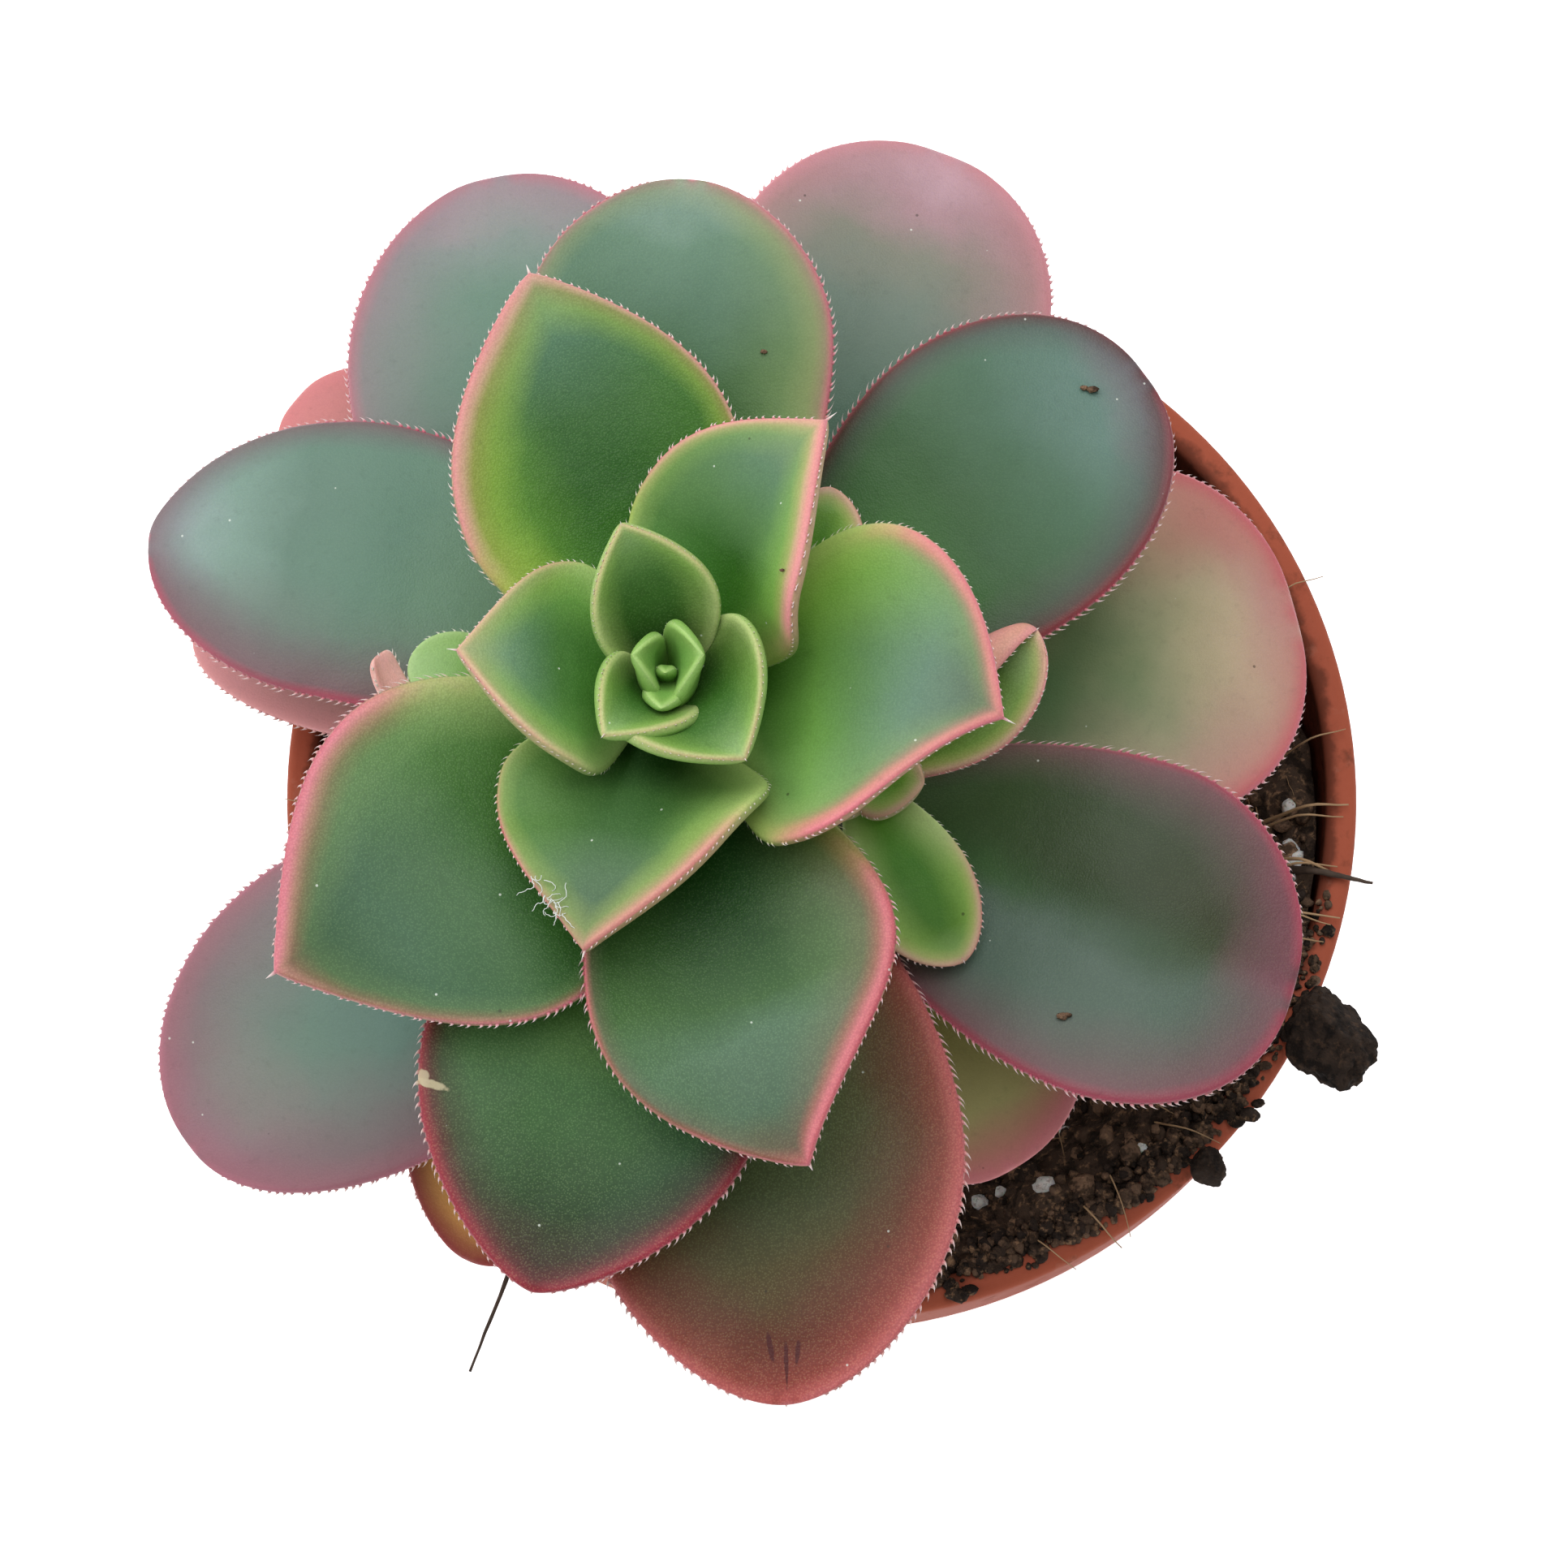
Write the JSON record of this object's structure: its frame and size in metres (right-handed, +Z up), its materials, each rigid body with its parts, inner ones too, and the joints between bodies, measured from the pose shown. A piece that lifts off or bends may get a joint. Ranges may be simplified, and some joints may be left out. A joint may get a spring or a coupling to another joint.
{
  "type": "potted aeonium",
  "caption": "Succulent rosette of fleshy toothed leaves on a short leaning stem with side shoots, growing in a soil-filled round plastic nursery pot.",
  "frame": {"origin": "middle of the pot's flat underside", "axes": "+Z up along the pot's axis; the stem leans towards -X, and -Y is the side that the picture was taken from"},
  "size_m": [0.1188, 0.1244, 0.1603],
  "materials": {
    "pot": "matte",
    "soil": "matte",
    "stem": "matte",
    "twig": "matte",
    "heart": "satin",
    "leaf_inner": "satin",
    "leaf_middle": "satin",
    "leaf_outer": "satin",
    "shoot": "satin"
  },
  "bodies": {
    "root": {"pot": "pot", "soil": "soil", "clod_large": "soil", "clod_small": "soil", "stem": "stem", "twig_right": "twig", "twig_left": "twig", "heart": "heart", "leaf_01": "leaf_inner", "leaf_02": "leaf_inner", "leaf_03": "leaf_inner", "leaf_04": "leaf_inner", "leaf_05": "leaf_inner", "leaf_06": "leaf_middle", "leaf_07": "leaf_middle", "leaf_08": "leaf_middle", "leaf_09": "leaf_middle", "leaf_10": "leaf_middle", "leaf_11": "leaf_middle", "leaf_12": "leaf_middle", "leaf_13": "leaf_outer", "leaf_14": "leaf_outer", "leaf_15": "leaf_outer", "leaf_16": "leaf_outer", "leaf_17": "leaf_outer", "leaf_18": "leaf_outer", "leaf_19": "leaf_outer", "leaf_20": "leaf_outer", "leaf_21": "leaf_outer", "shoot_right": "shoot", "shoot_left": "shoot", "shoot_back": "shoot"}
  },
  "joints": []
}
